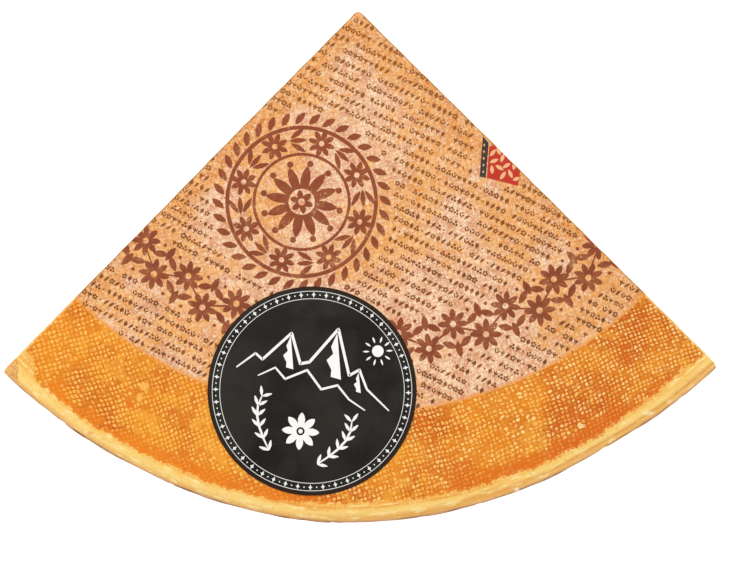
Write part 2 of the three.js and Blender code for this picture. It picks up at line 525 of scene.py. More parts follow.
def wedge_outline(step):
    """The wedge's plan, from the tip round the left cut, outside the heel and back along the right cut."""
    half = math.radians(RIGHT_CUT - LEFT_CUT) / 2
    tip = plan_point(TIP_RADIUS / math.sin(half), (LEFT_CUT + RIGHT_CUT) / 2)
    outer = WHEEL_RADIUS + CORNER_REACH + max(edge_offset(LEFT_CUT), edge_offset(RIGHT_CUT), 0)
    start = TIP_RADIUS / math.tan(half)
    beyond = outer + 2 * SWELL["height"]

    def arc(centre, radius, first, last, steps):
        for i in range(steps + 1):
            x, y = plan_point(radius, first + (last - first) * i / steps)
            yield centre[0] + x, centre[1] + y

    def side(cut, away, radius):
        """A straight cut from the tip outwards, and the rounded corner that ends it."""
        ring = outer - radius
        inset = math.degrees(math.asin(radius / ring))
        stop = ring * math.cos(math.radians(inset))
        count = round((stop - start) / step)
        for i in range(1, count):
            yield plan_point(start + (stop - start) * i / count, cut)
        yield from arc(plan_point(ring, cut - away * inset), radius, cut + 90 * away, cut - away * inset, 10)

    points = [*arc(tip, TIP_RADIUS, RIGHT_CUT + 90, LEFT_CUT + 270, 8)]
    points += side(LEFT_CUT, -1, LEFT_CORNER_RADIUS)
    points += arc((0, 0), beyond, LEFT_CUT + 5, RIGHT_CUT - 5, 40)
    points += reversed([*side(RIGHT_CUT, 1, RIGHT_CORNER_RADIUS)])
    return points


def cut_depth(along, z):
    """How far the wire wandered as it cut, over a cut face."""
    drag = 0.07 * np.sin(along * 0.31 + z * 0.04) + 0.05 * np.sin(along * 0.83 + 0.6 * np.sin(z * 0.11))
    return drag + 0.12 * np.sin(along * 0.045 + 0.8) * np.sin(z * 0.07 + 0.4)


def wedge_block(low, high, step, rise):
    """A block with the wedge's plan, whose two cut faces carry the marks of the wire."""
    bm = bmesh.new()
    verts = [bm.verts.new((x, y, low)) for x, y in wedge_outline(step)]
    base = [bm.edges.new(pair) for pair in zip(verts, verts[1:] + verts[:1])]
    levels = max(1, round((high - low) / rise))
    edges = base
    for _ in range(levels):
        grown = bmesh.ops.extrude_edge_only(bm, edges=edges)["geom"]
        verts = parts_of(grown, bmesh.types.BMVert)
        bmesh.ops.translate(bm, vec=(0, 0, (high - low) / levels), verts=verts)
        edges = parts_of(grown, bmesh.types.BMEdge)
    bmesh.ops.contextual_create(bm, geom=base)
    bmesh.ops.contextual_create(bm, geom=edges)
    for cut, away in CUTS:
        along = plan_direction(cut)
        out = plan_direction(cut + 90 * away)
        for face in bm.faces:
            centre = face.calc_center_median()
            on_cut = abs(centre.dot(out)) < 0.05 or centre.xy.length < 2 * TIP_RADIUS
            if on_cut and len(face.verts) == 4:
                face.material_index = PASTE
        for vert in bm.verts:
            if abs(vert.co.dot(out)) < 0.01:
                vert.co += out * float(cut_depth(vert.co.dot(along), vert.co.z + 40 * away))
    return made_object("wedge_block", bm)


def sheet_bed():
    """The shallow bed in the top face that the printed sheet lies in."""
    bm, _ = raised_disc((0, 0, WHEEL_HEIGHT - BED_DEPTH), SHEET_RADIUS - 0.1, 15)
    return made_object("sheet_bed", bm)


def corner_break():
    """What the broken left corner lost: a block with a crumbly face."""
    bm = bmesh.new()
    size = BREAK["size"]
    bmesh.ops.create_cube(bm, size=size)
    bmesh.ops.subdivide_edges(bm, edges=bm.edges[:], cuts=34, use_grid_fill=True)
    for vert in bm.verts:
        x, y, z = vert.co
        if z < -size / 2 + 0.01:
            lumps = 0.8 * math.sin(x * 0.6 + y * 0.4) * math.cos(y * 0.55)
            vert.co.z += lumps + 0.25 * math.sin(x * 2.3 - y * 1.9)
    corner = plan_point(WHEEL_RADIUS + float(edge_offset(LEFT_CUT)), LEFT_CUT)
    place = Matrix.Translation((corner[0] + BREAK["width"], corner[1], WHEEL_HEIGHT))
    lean = Matrix.Rotation(-math.atan2(BREAK["drop"], BREAK["width"]), 4, "Y")
    bm.transform(place @ lean @ Matrix.Translation((-size / 2, 0, size / 2)))
    for face in bm.faces:
        face.material_index = BROKEN
    return made_object("corner_break", bm)


def nick():
    bm = bmesh.new()
    x, y = plan_point(WHEEL_RADIUS + float(edge_offset(NICK["at"])) + NICK["out"], NICK["at"])
    matrix = Matrix.Translation((x, y, WHEEL_HEIGHT - NICK["below"]))
    bmesh.ops.create_icosphere(bm, subdivisions=3, radius=NICK["radius"], matrix=matrix)
    for face in bm.faces:
        face.material_index = BROKEN
    return made_object("nick", bm)


def eyes():
    """Small holes and hairline slits that the cuts laid open."""
    chance = random.Random(11)
    bm = bmesh.new()
    for cut, _ in CUTS:
        for number in range(EYES_A_CUT):
            along = chance.uniform(35, 225)
            z = chance.uniform(12, WHEEL_HEIGHT - 14)
            slit = number % 2
            size = chance.uniform(0.7, 1.9)
            stretch = (chance.uniform(3, 7), 0.9, 0.22) if slit else (1.25, 0.9, 0.85)
            lean = chance.uniform(-0.12, 0.12)
            x, y = plan_point(along, cut)
            matrix = Matrix.Translation((x, y, z)) @ Matrix.Rotation(math.radians(cut - 90), 4, "Z")
            matrix = matrix @ Matrix.Rotation(lean, 4, "Y") @ Matrix.Diagonal((*stretch, 1))
            bmesh.ops.create_icosphere(bm, subdivisions=2, radius=size * (0.55 if slit else 1), matrix=matrix)
    for face in bm.faces:
        face.material_index = PASTE
    return made_object("eyes", bm)


def make_cheese(materials):
    cheese = spun_wheel(materials)
    carve(cheese, wedge_block(-3, WHEEL_HEIGHT + 3, 2.0, 2.0), "INTERSECT")
    for tool in (cloth_press, sheet_bed, corner_break, nick, eyes):
        carve(cheese, tool())
    finish_piece(cheese)
    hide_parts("cheese")


# Materials


# The worn rim's tones from the heel inwards, over this many millimetres: the dark skin of the heel, a peach
# lip and the bare creamy band. The two outermost tones are the heel's own brown, painted darker as shade
# where the shoulder turns away from the light at the outline.
RIM_SPAN = 10
RIM_TONES = (
    # The heel's dark skin, painted darker still as the shade where the shoulder turns away from the light.
    (0.11, srgb(100, 58, 28)),
    (0.15, srgb(150, 96, 50)),
    (0.21, srgb(238, 184, 108)),
    (0.32, srgb(246, 196, 110)),
    (0.47, srgb(252, 212, 126)),
    (0.62, srgb(251, 211, 122)),
    (0.78, srgb(247, 198, 104)),
    (0.96, srgb(244, 182, 84)),
)

# The ochre of the mould's groove, and an orange line beside the crust: how far inside the heel they lie and
# how wide they are, in millimetres. The line runs between two angles.
RIM_GROOVE = {"at": 4.2, "spread": 0.7, "height": 0.75}
RIM_LINE = {"at": 8.3, "spread": 0.5, "height": 0.6}
LINE_FROM, LINE_TO = -15, 19

# Stretches of the rim, by angle: where its outer half is stained, and where the crust beside it is smeared.
RIM_STAINS = ({"at": 7, "spread": 11, "height": 0.55}, {"at": 33, "spread": 9, "height": 0.3})
RIM_SMEARS = ({"at": -19, "spread": 10, "height": 0.2}, {"at": 25, "spread": 10, "height": 0.24})

# The worn patch round the broken corner, and how far the tan break itself reaches along x.
CORNER_PATCH = 17
CORNER_TAN = 8.6

# Small spots: their place, half width and half height in millimetres, and their tone.
BLEMISHES = (
    (106.7, -199.2, 1.8, 1.0, srgb(255, 230, 168)),
    (138.8, -193.0, 2.6, 1.0, srgb(255, 238, 196)),
    (76.0, -229.6, 1.1, 0.9, srgb(255, 248, 230)),
    (-102.1, -180.4, 2.4, 2.0, srgb(254, 196, 92)),
    (-104.6, -185.8, 1.5, 2.2, srgb(252, 190, 88)),
    (-109.0, -189.0, 2.2, 1.6, srgb(232, 116, 10)),
    (-128.1, -202.7, 1.8, 1.1, srgb(238, 166, 90)),
)


def rind_material():
    """Washed rind: the cloth's knobs in an orange crust, a worn creamy band at the rim and a browner heel."""
    paint = Paint("washed_rind", specular=0.22)
    here, x, y, z = paint.place()
    radius = paint.length(x, y)
    angle = paint.math("ARCTAN2", x, -y) * (180 / math.pi)
    along = angle * math.radians(WHEEL_RADIUS)
    inside = WHEEL_RADIUS + edge_offset(angle) - radius

    clouds = paint.noise(here, 0.022, detail=4.0, roughness=0.6)
    blotches = paint.noise(here, 0.11, detail=3.0, roughness=0.55)
    grit = paint.noise(here, 1.3, detail=2.0)
    u, v = cloth_threads(x, y)
    turned = paint.step(angle, -30, 30)
    loose = 1.1 + 0.5 * paint.step(angle, -5, 14) * paint.step(angle, 36, 22)
    u = u + loose * (paint.noise(here, 0.3, detail=3.0) - 0.5) + 0.6 * (grit - 0.5)
    v = v + loose * (paint.noise(paint.vector(y, x, z), 0.3, detail=3.0) - 0.5)
    across, down = ripple(u), ripple(v)
    knob = 0.5 * paint.least(across, down) + 0.5 * across * down
    cell = paint.vector(paint.math("ROUND", u), paint.math("ROUND", v))
    lot = paint.node("ShaderNodeTexWhiteNoise", {"noise_dimensions": "2D"}, {"Vector": cell})

    patchy = paint.noise(here, 0.06, detail=4.0, roughness=0.7)
    furrow = paint.mix(paint.step(clouds, 0.38, 0.6), srgb(198, 90, 0), srgb(226, 130, 10))
    brightest = paint.mix(turned, srgb(255, 196, 94), srgb(255, 224, 142))
    light = paint.mix(lot, srgb(242, 150, 38), brightest)
    light = paint.mix(0.6 * paint.step(blotches, 0.44, 0.6), light, srgb(250, 174, 46))
    light = paint.mix(0.4 * paint.step(grit, 0.46, 0.62), light, srgb(255, 210, 122))
    filled = 0.3 + 0.7 * paint.step(lot + 1.6 * (blotches - 0.5) + 0.8 * (grit - 0.5), 0.05, 0.5)
    smaller = 0.16 * (lot - 0.4) + 0.08 * turned * paint.step(patchy, 0.44, 0.58)
    knobs = paint.mix(filled * paint.step(knob + 0.3 * (grit - 0.5) - smaller, -0.05, 0.5), furrow, light)
    near_rim = paint.step(inside, 23, 10)
    beside_rim = sum(bump(smear, angle) for smear in RIM_SMEARS) * paint.step(inside, 16.5, 13)
    smear = paint.step(patchy + 0.07 * near_rim + beside_rim + 0.1 * (grit - 0.5), 0.55, 0.64)
    smeared = paint.mix(turned, srgb(234, 126, 10), srgb(218, 100, 0))
    crust = paint.mix(0.75 * smear * (0.5 + 0.5 * near_rim), knobs, smeared)
    crust = paint.mix(0.45 * paint.step(patchy + beside_rim, 0.47, 0.36), crust, srgb(250, 178, 58))

    streak_place = paint.vector(along * 0.03, inside * 0.3, z * 0.2)
    streaks = paint.noise(streak_place, 1.0, detail=4.0, roughness=0.6)
    uneven = 3.0 * (streaks - 0.5) + 1.2 * (blotches - 0.5)
    shifted = inside + uneven * paint.step(inside, 1.2, 4) + 0.9 * (grit - 0.5)
    # The rim's tones: the darkest, outermost ones are painted shade over the heel's brown, at the outline.
    worn = paint.ramp(shifted * (1 / RIM_SPAN), RIM_TONES)
    past_skin = paint.step(inside, 1.6, 2.6)
    thin_skin = paint.patches(paint.vector(along * 0.09, z * 0.25, 9.0), 1.0, 0.44, 0.58, detail=4.0)
    worn = paint.mix(0.6 * thin_skin * (1 - past_skin), worn, srgb(226, 172, 108))
    outer_half = past_skin * paint.step(inside, 6.5, 3.0)
    worn = paint.mix(sum(bump(stain, angle) for stain in RIM_STAINS) * outer_half, worn, srgb(230, 154, 62))
    stained = paint.patches(paint.vector(along * 0.022, inside * 0.3, 7.0), 1.0, 0.53, 0.66, detail=5.0)
    worn = paint.mix(0.5 * stained * past_skin, worn, srgb(234, 150, 54))
    pale_spots = paint.patches(paint.vector(along * 0.12, inside * 0.5, 3.0), 1.0, 0.52, 0.64, detail=5.0)
    worn = paint.mix(0.75 * pale_spots * past_skin, worn, srgb(255, 232, 158))
    flecks = paint.patches(paint.vector(along * 0.5, inside * 1.3, 8.0), 1.0, 0.56, 0.68)
    worn = paint.mix(0.5 * flecks * past_skin, worn, srgb(224, 152, 66))
    ragged_line = paint.step(grit + 0.6 * (blotches - 0.5), 0.36, 0.52)
    groove = bump(RIM_GROOVE, inside + 0.7 * (streaks - 0.5)) * paint.step(angle, GROOVE_FROM, GROOVE_FULL)
    worn = paint.mix(groove * ragged_line, worn, srgb(228, 150, 52))
    between = paint.step(angle, LINE_FROM, LINE_FROM + 8) * paint.step(angle, LINE_TO, LINE_TO - 8)
    line = bump(RIM_LINE, inside + 1.6 * (streaks - 0.5)) * between
    worn = paint.mix(line * ragged_line, worn, srgb(224, 138, 34))

    corner_x, corner_y = plan_point(WHEEL_RADIUS, LEFT_CUT)
    bare_corner = CORNER_PATCH - paint.length(x - corner_x, y - corner_y)
    ragged = inside - crust_inset(angle) + 2.6 * (grit - 0.5) + 1.3 * (knob - 0.4)
    bare = paint.math("MAXIMUM", -ragged, bare_corner + 7 * (blotches - 0.5) + 2 * (grit - 0.5))
    top_colour = paint.mix(paint.step(bare, 0.7, -0.5), worn, crust)
    near_cut = inside_cuts(paint, x, y)
    scraped = paint.step(near_cut + 1.6 * (grit - 0.5) + 2.0 * (blotches - 0.5), 1.3, 0.3)
    top_colour = paint.mix(0.7 * scraped, top_colour, srgb(250, 212, 138))
    for spot_x, spot_y, half_width, half_height, tone in BLEMISHES:
        aside, above = (x - spot_x) * (1 / half_width), (y - spot_y) * (1 / half_height)
        share = paint.step(aside * aside + above * above + 1.4 * (grit - 0.5), 1.4, 0.5)
        top_colour = paint.mix(0.68 * share, top_colour, tone)
    tan_place = x - corner_x + 1.6 * (grit - 0.5) + 3.0 * (blotches - 0.5)
    tan = paint.mix(paint.step(grit, 0.35, 0.65), srgb(212, 142, 66), srgb(242, 190, 114))
    top_colour = paint.mix(paint.step(tan_place, CORNER_TAN, CORNER_TAN - 0.9), top_colour, tan)

    heel_place = paint.vector(along, z, 30.0)
    heel_clouds = paint.noise(heel_place, 0.028, detail=5.0, roughness=0.7, distortion=0.8)
    around = along * (1 / CLOTH_PITCH) + 1.1 * (paint.noise(heel_place, 0.25, detail=2.0) - 0.5)
    upwards = z * (1 / CLOTH_PITCH) + 1.1 * (blotches - 0.5)
    heel_knob = paint.least(ripple(around), ripple(upwards))
    cloudy = paint.step(heel_clouds, 0.34, 0.66)
    heel_light = paint.mix(cloudy, srgb(186, 118, 52), srgb(222, 154, 76))
    heel_dark = paint.mix(cloudy, srgb(150, 86, 34), srgb(190, 116, 46))
    heel = paint.mix(paint.step(heel_knob + 0.5 * (grit - 0.5), 0.05, 0.6), heel_dark, heel_light)
    heel = paint.mix(0.5 * paint.step(grit, 0.54, 0.72), heel, srgb(236, 190, 124))
    heel = paint.mix(0.4 * paint.step(z + 12 * (heel_clouds - 0.5), 14, 2), heel, srgb(136, 78, 34))
    skin = paint.step(z + 9 * (heel_clouds - 0.5), WHEEL_HEIGHT - 20, WHEEL_HEIGHT - 8)
    heel = paint.mix(0.7 * skin, heel, srgb(116, 70, 36))
    high = paint.step(z + 3 * (streaks - 0.5) + 1.5 * (grit - 0.5), WHEEL_HEIGHT - 8.5, WHEEL_HEIGHT - 5.5)
    upper = paint.mix(high, heel, top_colour)
    low = paint.step(z, 6, 2) * paint.step(inside, 4, 9)
    under = paint.mix(0.35, crust, srgb(168, 96, 40))
    paint.colour(paint.mix(low, upper, under))

    paint.rough(0.5 + 0.22 * paint.step(grit, 0.3, 0.7))
    flat_faces = paint.step(inside, 7.5, 9.5)
    weave = flat_faces * (0.7 * knob + 0.15 * blotches + 0.15 * grit)
    rim_marks = (1 - flat_faces) * (0.3 * streaks + 0.25 * grit)
    heel_marks = (1 - flat_faces) * (1 - high) * (0.5 * heel_knob + 0.5 * heel_clouds)
    paint.relief(weave + rim_marks + heel_marks, 0.26)
    return paint.material


def paste_material():
    """Cut cheese: pale yellow paste that darkens under the rind."""
    paint = Paint("cut_paste", specular=0.45)
    here, x, y, z = paint.place()
    radius = paint.length(x, y)
    deep = paint.least(paint.least(z, WHEEL_HEIGHT - z), WHEEL_RADIUS - radius)
    clouds = paint.noise(here, 0.03, detail=4.0)
    grain = paint.noise(here, 0.9, detail=3.0, roughness=0.6)
    uneven = deep + 3.0 * (clouds - 0.5) + 0.8 * (grain - 0.5)
    core = paint.mix(paint.step(clouds, 0.35, 0.65), srgb(224, 184, 108), srgb(236, 202, 132))
    core = paint.mix(0.35 * paint.step(grain, 0.4, 0.7), core, srgb(244, 214, 150))
    under_rind = paint.mix(paint.step(uneven, 1.2, 4.5), srgb(178, 108, 40), srgb(212, 158, 78))
    paint.colour(paint.mix(paint.step(uneven, 3.5, 15), under_rind, core))
    paint.rough(0.42 + 0.16 * grain)
    drag = paint.noise(paint.vector(radius * 0.9, z * 0.12, 0.0), 1.0, detail=3.0)
    paint.relief(0.6 * drag + 0.4 * grain, 0.12)
    return paint.material


def broken_material():
    """The tan, crumbly inside of the rind, where a corner broke off."""
    paint = Paint("broken_rind", specular=0.2, roughness=0.75)
    here = paint.place()[0]
    crumbs = paint.noise(here, 0.9, detail=4.0, roughness=0.65)
    patches = paint.noise(here, 0.25, detail=2.0)
    tone = paint.mix(paint.step(crumbs, 0.36, 0.64), srgb(214, 150, 82), srgb(248, 202, 132))
    paint.colour(paint.mix(0.5 * paint.step(patches, 0.45, 0.65), tone, srgb(240, 172, 92)))
    paint.relief(crumbs, 0.5)
    return paint.material


def paper_tone(paint, here, x, y):
    """The sheet's bare paper, veined and stained by the rind, most of all along the cuts and at the tip."""
    clouds = paint.noise(here, 0.028, detail=4.0, roughness=0.6)
    blotches = paint.noise(here, 0.13, detail=4.0, roughness=0.6)
    fibres = paint.noise(here, 0.8, detail=5.0, roughness=0.8)
    specks = paint.noise(here, 1.6, detail=2.0, roughness=0.6)
    tone = paint.mix(paint.step(blotches, 0.38, 0.62), srgb(222, 154, 112), srgb(255, 213, 174))
    tone = paint.mix(0.9 * paint.step(fibres, 0.465, 0.57), tone, srgb(255, 234, 200))
    near_cut = inside_cuts(paint, x, y)
    more_there = 0.06 * paint.step(y, -150, -30) + 0.13 * paint.step(near_cut, 17, 3)
    stain = paint.step(clouds + 0.45 * (blotches - 0.5) + more_there, 0.46, 0.59)
    tone = paint.mix(0.78 * stain * paint.step(fibres, 0.7, 0.42), tone, srgb(242, 166, 64))
    veins = paint.math("ABSOLUTE", paint.noise(here, 0.42, detail=4.0, roughness=0.6) - 0.5)
    tone = paint.mix(0.75 * paint.step(veins, 0.035, 0.005), tone, srgb(196, 118, 62))
    beside_cut = paint.step(near_cut, 15, 3)
    tone = paint.mix((0.5 + 0.25 * beside_cut) * paint.step(specks, 0.54, 0.67), tone, srgb(184, 98, 44))
    smudges = paint.patches(here, 0.45, 0.54, 0.64, roughness=0.7)
    tone = paint.mix(0.7 * beside_cut * smudges, tone, srgb(182, 88, 22))
    tone = paint.mix(0.7 * paint.step(near_cut, 0.8, 0.3), tone, srgb(146, 112, 52))
    radius = paint.length(x, y) + 3.0 * (blotches - 0.5) + 2.0 * (fibres - 0.5)
    outer_edge = paint.step(radius, SHEET_RADIUS - 2.4, SHEET_RADIUS - 0.2)
    tone = paint.mix(0.85 * outer_edge, tone, srgb(238, 154, 58))
    return tone, fibres, blotches


def paper_material():
    """Thin paper with faint dark lines where the cloth's threads pressed the rind's moisture through it."""
    paint = Paint("stained_paper", specular=0.2)
    here, x, y, z = paint.place()
    tone, fibres, blotches = paper_tone(paint, here, x, y)
    u, v = cloth_threads(x, y)
    u = u + 1.2 * (paint.noise(here, 0.3, detail=3.0) - 0.5)
    v = v + 1.2 * (blotches - 0.5)
    knob = paint.least(ripple(u), ripple(v))
    pressed = paint.patches(here, 0.05, 0.42, 0.6)
    threads = paint.step(knob, 0.28, 0.02) * paint.step(fibres, 0.38, 0.56) * (0.35 + 0.65 * pressed)
    tone = paint.mix(0.4 * threads, tone, srgb(190, 106, 52))
    paint.colour(tone)
    paint.rough(0.62 + 0.15 * fibres)
    paint.relief(0.12 * knob + 0.6 * fibres + 0.28 * blotches, 0.18)
    return paint.material


def ink_material(name, dark, light, at_tip):
    """Worn ink on the sheet, which lets the paper through where it was rubbed and fades towards the tip."""
    paint = Paint(name, specular=0.25, roughness=0.6)
    here, x, y, z = paint.place()
    tone, fibres, blotches = paper_tone(paint, here, x, y)
    ink = paint.mix(paint.step(blotches, 0.35, 0.65), dark, light)
    ink = paint.mix(0.8 * paint.step(y, -150, -40), ink, at_tip)
    rubbed = paint.step(fibres + 0.5 * (blotches - 0.5), 0.57, 0.74)
    paint.colour(paint.mix(0.6 * rubbed, ink, tone))
    paint.relief(0.6 * fibres + 0.4 * blotches, 0.08)
    return paint.material


def plain_ink_material(name, first, second, scale):
    paint = Paint(name, specular=0.35, roughness=0.5)
    here = paint.place()[0]
    paint.colour(paint.mix(paint.noise(here, scale, detail=3.0), first, second))
    paint.relief(paint.noise(here, 1.5), 0.03)
    return paint.material


def sticker_material():
    """Black coated paper, a little scuffed, with a darker rim."""
    paint = Paint("black_coated_paper", specular=0.13)
    here, x, y, z = paint.place()
    radius = paint.length(x - STICKER["x"], y - STICKER["y"])
    clouds = paint.noise(here, 0.05, detail=4.0)
    scuffs = paint.noise(paint.vector(x * 0.4, y * 2.2, 0.0), 0.6, detail=4.0)
    face = paint.mix(paint.step(clouds, 0.35, 0.65), srgb(28, 25, 21), srgb(44, 41, 36))
    face = paint.mix(0.3 * paint.step(scuffs, 0.6, 0.8), face, srgb(76, 71, 65))
    paint.colour(paint.mix(paint.step(radius, 48.3, 48.9), face, srgb(46, 30, 18)))
    paint.rough(0.46 + 0.14 * clouds)
    paint.relief(0.5 * clouds + 0.5 * scuffs, 0.05)
    return paint.material


# The printed sheet


def make_sheet(paper):
    bm, _ = raised_disc((0, 0, WHEEL_HEIGHT - SHEET_DEPTH), SHEET_RADIUS, SHEET_DEPTH)
    sheet = made_object("printed_paper", bm, paper)
    carve(sheet, wedge_block(WHEEL_HEIGHT - 5, WHEEL_HEIGHT + 5, 4.0, 5.0), "INTERSECT")
    for face in sheet.data.polygons:
        face.material_index = 0
    finish_piece(sheet)
    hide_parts("printed_sheet")


# Print, as flat shapes that are trimmed at the cuts and then given the ink's thickness

INK_LAYER = 0.004
INK_LAYERS = 11
PRINT_MARGIN = 0.3


def spot(x, y, turn=0.0, width=1.0, height=None):
    """Where a shape goes: its place, its turn in degrees and its size."""
    size = Matrix.Diagonal((width, width if height is None else height, 1, 1))
    return Matrix.Translation((x, y, 0)) @ Matrix.Rotation(math.radians(turn), 4, "Z") @ size


def dot(bm, place, segments=10):
    return bmesh.ops.create_circle(bm, cap_ends=True, segments=segments, radius=0.5, matrix=place)["verts"]


def leaf(bm, place, segments=12):
    """A leaf with a point at both ends, one unit long and wide before it is sized."""
    verts = bmesh.ops.create_circle(bm, cap_ends=True, segments=segments, radius=1)["verts"]
    for vert in verts:
        vert.co = place @ Vector((vert.co.x / 2, math.copysign(1 - vert.co.x ** 2, vert.co.y) / 2, 0))
    return verts


def hollow(bm, place, outline, share, segments):
    """A ring between an outline, which gives a radius by angle, and a round hole as wide as the share."""
    loops = []
    for edge_of_ring in (outline, lambda angle: share):
        verts = bmesh.ops.create_circle(bm, cap_ends=False, segments=segments, radius=1)["verts"]
        for vert in verts:
            angle = math.atan2(vert.co.y, vert.co.x)
            reach = edge_of_ring(angle) / 2
            vert.co = place @ Vector((reach * math.cos(angle), reach * math.sin(angle), 0))
        loops += dict.fromkeys(edge for vert in verts for edge in vert.link_edges)
    bmesh.ops.bridge_loops(bm, edges=loops)


def ring(bm, place, share, segments=96):
    hollow(bm, place, lambda angle: 1.0, share, segments)


def flower(bm, place, petals=8, heart=0.2):
    """A flower with fat pointed petals and an open heart."""

    def outline(angle):
        off_petal = 2 * abs((angle * petals / math.tau + 0.5) % 1 - 0.5)
        return 0.45 + 0.55 * (1 - off_petal ** 1.2) ** 0.75

    hollow(bm, place, outline, heart, 8 * petals)


def polygon(bm, place, corners):
    """A flat shape with these corners."""
    verts = bmesh.ops.create_circle(bm, cap_ends=True, segments=len(corners), radius=1)["verts"]
    for vert, corner in zip(verts, corners):
        vert.co = place @ Vector((*corner, 0))


def ribbon(bm, path, width, steps):
    """A line of ink along a path from 0 to 1, that narrows to both ends."""
    verts = bmesh.ops.create_grid(bm, x_segments=steps, y_segments=1, size=1)["verts"]
    for vert in verts:
        at = (vert.co.x + 1) / 2
        here = Vector((*path(at), 0))
        ahead = Vector((*path(min(1, at + 0.002)), 0)) - Vector((*path(max(0, at - 0.002)), 0))
        side = Vector((-ahead.y, ahead.x, 0)).normalized()
        taper = 0.3 + 0.7 * math.sqrt(max(0.0, 1 - (2 * at - 1) ** 2))
        vert.co = here + side * vert.co.y * width * taper / 2


def separate_shapes(bm):
    """The shapes of a mesh that don't touch, in the order they were drawn, each as its vertices."""
    seen = set()
    for first in bm.verts:
        if first in seen:
            continue
        seen.add(first)
        shape = [first]
        for vert in shape:
            for edge in vert.link_edges:
                other = edge.other_vert(vert)
                if other not in seen:
                    seen.add(other)
                    shape.append(other)
        yield shape


def make_print(name, bm, material, low, high):
    """Flat shapes as ink between two heights, trimmed at both cuts. Each is a hair higher or lower than the
    shapes next to it, so that no two tops share a plane where they overlap."""
    for cut, away in CUTS:
        out = plan_direction(cut + 90 * away)
        bmesh.ops.bisect_plane(
            bm, geom=bm.verts[:] + bm.edges[:] + bm.faces[:], dist=0.001, plane_co=out * -PRINT_MARGIN,
            plane_no=out, clear_outer=True,
        )
    bmesh.ops.recalc_face_normals(bm, faces=bm.faces[:])
    for vert in bm.verts:
        vert.co.z = low
    raise_faces(bm, high - low)
    shapes = list(separate_shapes(bm))
    longest = sorted(shapes, key=len)[-2:]
    for number, shape in enumerate(shapes):
        layer = longest.index(shape) if shape in longest else 2 + number % INK_LAYERS
        for vert in shape:
            if vert.co.z > (low + high) / 2:
                vert.co.z += INK_LAYER * layer
    finish_piece(made_object(name, bm, material), sharp=30)


# The sheet's rows of small marks, its garland and its rosette

ROW_TURN = -27
ROW_PITCH = 5.0
MARK_PITCH = 2.8
MARK_HEIGHT = 2.9
GARLAND = {"x": 7.4, "radius": 159.8, "half_width": 13}
GARLAND_FROM, GARLAND_TO, GARLAND_STEP = -49.5, 48.5, 4.9
ROSETTE = {"x": -27, "y": -92, "radius": 41, "turn": -19}
PATCH = {"x": 67.5, "y": -73, "reach": 13}

# The patch's pale leaves: their place, turn and length.
PATCH_LEAVES = (
    (-3, 4.5, 50, 4.4), (-0.2, 5.2, 120, 4.0), (-2.4, 0.6, 20, 4.6), (1.6, 2.0, 70, 4.4),
    (5.0, 2.2, 130, 4.2), (-3.4, -3.6, 95, 4.4), (0.2, -2.6, 150, 4.6), (3.6, -1.6, 30, 4.4),
    (7.2, -1.8, 80, 4.2), (1.8, -6.4, 55, 4.8), (5.4, -5.6, 115, 4.6), (8.2, -8.0, 20, 3.6),
)


def bare_of_marks(x, y):
    """Whether a place is kept free of the small marks."""
    ring_away = abs(math.hypot(x - GARLAND["x"], y) - GARLAND["radius"])
    rosette_away = math.hypot(x - ROSETTE["x"], y - ROSETTE["y"])
    sticker_away = math.hypot(x - STICKER["x"], y - STICKER["y"])
    patch_away = math.hypot(x - PATCH["x"], y - PATCH["y"])
    return (
        ring_away < GARLAND["half_width"]
        or rosette_away < ROSETTE["radius"] + 4
        or sticker_away < STICKER["radius"] - 3
        or patch_away < PATCH["reach"]
        or math.hypot(x, y) > SHEET_RADIUS - 1.8
    )


def mark_lozenge(bm, place):
    dot(bm, place @ spot(0, 0, 0, 0.72, 1.08), 4)


def mark_leaf(bm, place):
    leaf(bm, place @ spot(0, 0, 62, 1.16, 0.46), 8)


def mark_sprig(bm, place):
    """Three leaves that fan out from a stalk."""
    for lean in (-42, 0, 42):
        x, y = 0.3 * math.sin(math.radians(lean)), 0.3 * math.cos(math.radians(lean))
        leaf(bm, place @ spot(x, y - 0.2, 90 - lean, 0.74, 0.26), 8)
    leaf(bm, place @ spot(0, -0.34, 90, 0.5, 0.18), 8)


def mark_blossom(bm, place):
    """Five round petals round an open middle."""
    for petal in range(5):
        x, y = plan_point(0.32, 72 * petal + 36)
        dot(bm, place @ spot(x, y, 72 * petal, 0.38), 6)


def mark_trefoil(bm, place):
    for x, y in ((0, 0.26), (-0.25, -0.2), (0.25, -0.2)):
        dot(bm, place @ spot(x, y, 0, 0.44), 7)


def mark_bud(bm, place):
    """Two leaves that open upwards, with a round bud between them."""
    for side in (-1, 1):
        leaf(bm, place @ spot(side * 0.24, -0.12, 90 - side * 28, 0.84, 0.27), 8)
    dot(bm, place @ spot(0, 0.32, 0, 0.34), 6)


